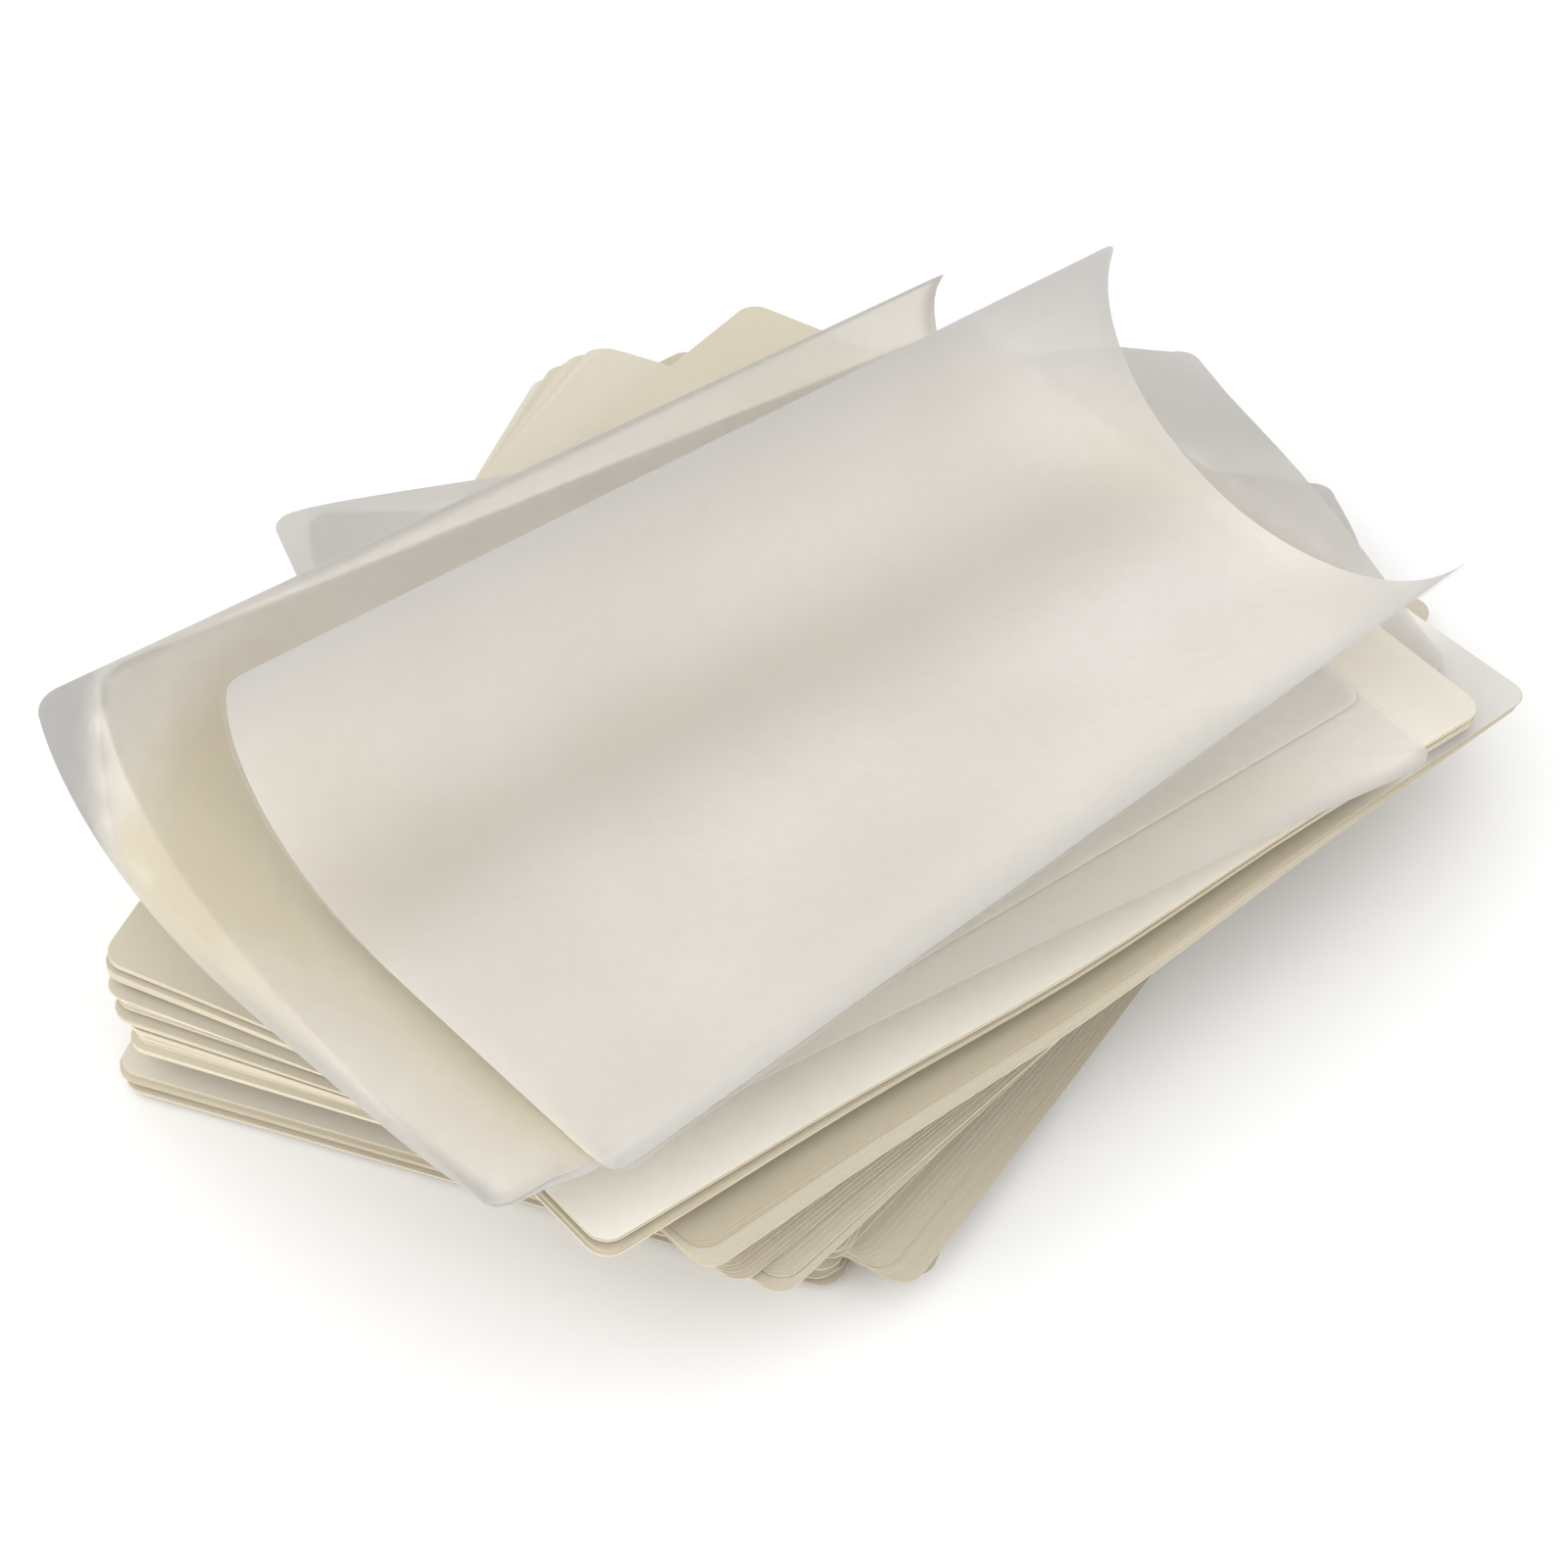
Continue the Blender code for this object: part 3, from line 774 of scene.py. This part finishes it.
def build_loose_leaves(finish):
    """The four loose leaves: each stays over the top bundle and under the leaves above it."""
    ground = Footprint("bundle_11", True)
    placed = []
    leaders = {}
    shapes = []
    for name, (curl, along, across, turn, below) in LOOSE_LEAVES.items():
        points, faces, loop = leaf_net(CURLS[curl][0], LOOSE_CELLS)
        places = plan_of(points, turn, np.array([along, across]))
        free = curled_points(places, curl)
        middle = free - normals_of(free, faces) * CLOSE_PITCH * below
        if curl in leaders:
            middle[:, 2] += shifted(places, *leaders[curl])
        else:
            for layer in placed:
                most = layer.limit(middle[:, :2], -1) - CLOSE_PITCH
                middle[:, 2] = np.minimum(middle[:, 2], most)
        left_under = len(LOOSE_LEAVES) - 1 - len(placed)
        least = ground.limit(middle[:, :2], 1) + CLOSE_ROOM + left_under * CLOSE_PITCH
        middle[:, 2] = np.maximum(middle[:, 2], least)
        placed.append(Layer(middle, faces))
        if curl not in leaders:
            leaders[curl] = (places, middle[:, 2] - free[:, 2])
        twin = twin_of(points, middle, faces) if name == TWIN_LEAF else None
        shapes.append((name, points, middle, faces, loop, finish, twin))
    for shape in reversed(shapes):
        leaf_piece(*shape)


class Nodes:
    """A material's node tree, with short calls to add to it."""

    def __init__(self, name):
        self.material = bpy.data.materials.new(name)
        self.material.use_nodes = True
        self.tree = self.material.node_tree
        self.tree.nodes.clear()

    def add(self, kind, links=None, **values):
        """A node with its settings, and its inputs linked or, where given a plain value, set."""
        node = self.tree.nodes.new(kind)
        for key, value in values.items():
            setattr(node, key, value)
        for socket, source in (links or {}).items():
            if isinstance(source, bpy.types.NodeSocket):
                self.tree.links.new(source, node.inputs[socket])
            else:
                node.inputs[socket].default_value = source
        return node

    def baked(self, name):
        """A value that the mesh holds at each point."""
        return self.add("ShaderNodeAttribute", attribute_name=name).outputs["Fac"]

    def noise(self, vector, scale, detail):
        links = {"Vector": vector, "Scale": scale, "Detail": detail, "Roughness": 0.55}
        return self.add("ShaderNodeTexNoise", links).outputs["Fac"]

    def remap(self, value, low, high, to_low=0.0, to_high=1.0):
        links = {
            "Value": value, "From Min": low, "From Max": high, "To Min": to_low, "To Max": to_high,
        }
        return self.add("ShaderNodeMapRange", links).outputs["Result"]

    def mix_color(self, factor, first, second):
        node = self.add("ShaderNodeMix", data_type="RGBA", blend_type="MIX")
        for index, source in ((0, factor), (6, first), (7, second)):
            if isinstance(source, bpy.types.NodeSocket):
                self.tree.links.new(source, node.inputs[index])
            else:
                node.inputs[index].default_value = source
        return node.outputs[2]


def paper_color(nodes, face_color):
    """Paper with wide mottling and fine grain; the grain is given back too."""
    place = nodes.add("ShaderNodeTexCoord").outputs["Object"]
    wide = nodes.noise(place, 55.0, 1.0)
    grain = nodes.noise(place, 900.0, 0.0)
    darker = nodes.mix_color(0.5, face_color, MOTTLE)
    color = nodes.mix_color(nodes.remap(wide, 0.35, 0.65, 0.0, 0.25), face_color, darker)
    return nodes.mix_color(nodes.remap(grain, 0.3, 0.7, 0.0, 0.15), color, darker), grain


def bundle_material():
    """Many sheets: cream on their cut edges; faces darker under a top sheet, as painted shade with
    the paper's depth, paler on a lit top sheet and greyer at an unbacked corner, painted light and
    shade, by its tone.
    """
    nodes = Nodes("wafer_bundle_look")
    normal = nodes.add("ShaderNodeNewGeometry").outputs["Normal"]
    upright = nodes.add("ShaderNodeSeparateXYZ", {"Vector": normal}).outputs["Z"]
    level = nodes.add("ShaderNodeMath", {0: upright}, operation="ABSOLUTE").outputs[0]
    shade = nodes.baked("shade")
    edge = nodes.mix_color(shade, BUNDLE_EDGE_DARK, BUNDLE_EDGE)
    # Faces under a top sheet are darker as painted shade of the pile over them, with the paper's
    # depth; a top sheet pales to the lit top and greys at an unbacked corner, painted light and
    # shade.
    top = nodes.mix_color(shade, BUNDLE_FACE_DARK, BUNDLE_FACE)
    top = nodes.mix_color(nodes.remap(shade, 1.0, 2.0), top, BUNDLE_TOP)
    top = nodes.mix_color(nodes.remap(shade, 2.0, 3.0), top, BUNDLE_CORNER_SHADE)
    face = nodes.mix_color(nodes.remap(level, 0.25, 0.6, 1.0, 0.0), top, edge)
    color, grain = paper_color(nodes, face)
    bump = nodes.add("ShaderNodeBump", {"Strength": 0.2, "Distance": 0.00005, "Height": grain})
    links = {"Base Color": color, "Roughness": PAPER_ROUGHNESS, "Specular IOR Level": PAPER_SHEEN}
    links["Normal"] = bump.outputs[0]
    surface = nodes.add("ShaderNodeBsdfPrincipled", links)
    nodes.add("ShaderNodeOutputMaterial", {"Surface": surface.outputs[0]})
    return nodes.material


def leaf_material():
    """A single sheet: greyish where nothing lies behind it and darker at a bare corner, painted
    shade; white and more see-through where paper does, with the pile's cream showing through as
    painted light; and darker in leaf_top's trough, painted shade.
    """
    nodes = Nodes("wafer_leaf_look")
    backing = nodes.baked("backing")
    near = nodes.remap(backing, 0.15, 0.95)
    # Painted shade: grey where nothing lies behind the sheet, darker at the bare corner; white
    # where paper backs it.
    unbacked_shade = nodes.mix_color(nodes.remap(backing, -BARE_SHADE_DEPTH, 0.0), LEAF_BARE_SHADE, LEAF_ALONE_SHADE)
    face = nodes.mix_color(near, unbacked_shade, LEAF_BACKED)
    # Painted light: the cream of the pile below showing through.
    face = nodes.mix_color(nodes.remap(nodes.baked("cream"), 0.0, 0.16), face, LEAF_PILE_GLOW)
    # Painted shade along the trough of leaf_top's curl.
    face = nodes.mix_color(nodes.remap(nodes.baked("valley_shade"), 0.0, 1.0), face, LEAF_VALLEY_SHADE)
    color, _ = paper_color(nodes, face)
    links = {"Base Color": color, "Roughness": PAPER_ROUGHNESS, "Specular IOR Level": PAPER_SHEEN}
    surface = nodes.add("ShaderNodeBsdfPrincipled", links)
    passed = nodes.mix_color(0.45, color, PASSED_LIGHT)
    glow = nodes.add("ShaderNodeBsdfTranslucent", {"Color": passed})
    through = nodes.remap(nodes.baked("firm"), 0.0, 0.8, 0.45, 0.08)
    links = {0: through, 1: surface.outputs[0], 2: glow.outputs[0]}
    shader = nodes.add("ShaderNodeMixShader", links).outputs[0]
    clear = nodes.remap(near, 0.0, 1.0, CLEAR_ALONE, CLEAR_BACKED)
    links = {0: clear, 1: nodes.baked("hidden")}
    clear = nodes.add("ShaderNodeMath", links, operation="MAXIMUM").outputs[0]
    gap = nodes.add("ShaderNodeBsdfTransparent")
    links = {0: clear, 1: shader, 2: gap.outputs[0]}
    shader = nodes.add("ShaderNodeMixShader", links).outputs[0]
    nodes.add("ShaderNodeOutputMaterial", {"Surface": shader})
    return nodes.material


def floor_material():
    """A plain matt floor, very faintly uneven."""
    nodes = Nodes("studio_floor")
    place = nodes.add("ShaderNodeTexCoord").outputs["Object"]
    cloud = nodes.remap(nodes.noise(place, 4.0, 2.0), 0.3, 0.7)
    color = nodes.mix_color(cloud, FLOOR_DARK, FLOOR_PALE)
    surface = nodes.add("ShaderNodeBsdfPrincipled", {"Base Color": color, "Roughness": 0.9})
    nodes.add("ShaderNodeOutputMaterial", {"Surface": surface.outputs[0]})
    return nodes.material


def build_stage():
    """A plain pale floor, wide enough to fill the view."""
    mesh = bpy.data.meshes.new("floor")
    points = []
    for row in range(FLOOR_STEPS + 1):
        y = -FLOOR_HALF + 2 * FLOOR_HALF * row / FLOOR_STEPS
        points += [(-FLOOR_HALF, y, -FLOOR_DROP), (FLOOR_HALF, y, -FLOOR_DROP)]
    faces = [(2 * row, 2 * row + 1, 2 * row + 3, 2 * row + 2) for row in range(FLOOR_STEPS)]
    mesh.from_pydata(points, [], faces)
    floor = bpy.data.objects.new("floor", mesh)
    bpy.context.scene.collection.objects.link(floor)
    mesh.materials.append(floor_material())


def area_light(name, place, size, power):
    """A square soft light that looks at the pile."""
    data = bpy.data.lights.new(name, "AREA")
    data.shape = "SQUARE"
    data.size = size
    data.energy = power
    data.color = LIGHT_COLOR
    light = bpy.data.objects.new(name, data)
    bpy.context.scene.collection.objects.link(light)
    light.location = place
    toward = Vector(LIGHT_TARGET) - Vector(place)
    light.rotation_euler = toward.to_track_quat("-Z", "Y").to_euler()


def build_light():
    """An even white room with a soft key from the left and a weak fill from the right."""
    world = bpy.data.worlds.new("studio")
    world.cycles.sampling_method = "NONE"
    world.use_nodes = True
    background = world.node_tree.nodes["Background"]
    background.inputs["Color"].default_value = (1.0, 1.0, 1.0, 1)
    background.inputs["Strength"].default_value = WORLD_STRENGTH
    bpy.context.scene.world = world
    area_light("key", (-0.85, -0.50, 0.70), 1.3, 6.0)
    area_light("fill", (0.80, -0.65, 0.50), 0.9, 1.5)


def build_camera():
    """The camera of the photo: in front of the pile, looking down at it."""
    data = bpy.data.cameras.new("view")
    data.lens = LENS
    data.sensor_width = 36.0
    data.sensor_fit = "HORIZONTAL"
    data.clip_start = 0.01
    camera = bpy.data.objects.new("view", data)
    bpy.context.scene.collection.objects.link(camera)
    height = math.radians(VIEW_HEIGHT)
    aim = Vector((SHIFT[0] * MM, SHIFT[1] * MM, 0.0))
    away = Vector((0.0, -math.cos(height), math.sin(height))) * VIEW_DISTANCE
    camera.location = aim + away
    camera.rotation_euler = (-away).to_track_quat("-Z", "Y").to_euler()
    bpy.context.scene.camera = camera


bundle_finish = bundle_material()
leaf_finish = leaf_material()
for bundle in BUNDLES:
    bundle_sheets(bundle, bundle_finish)
build_flat_leaves(leaf_finish)
build_loose_leaves(leaf_finish)
build_stage()
build_light()
build_camera()
bpy.context.scene.view_settings.view_transform = "Standard"
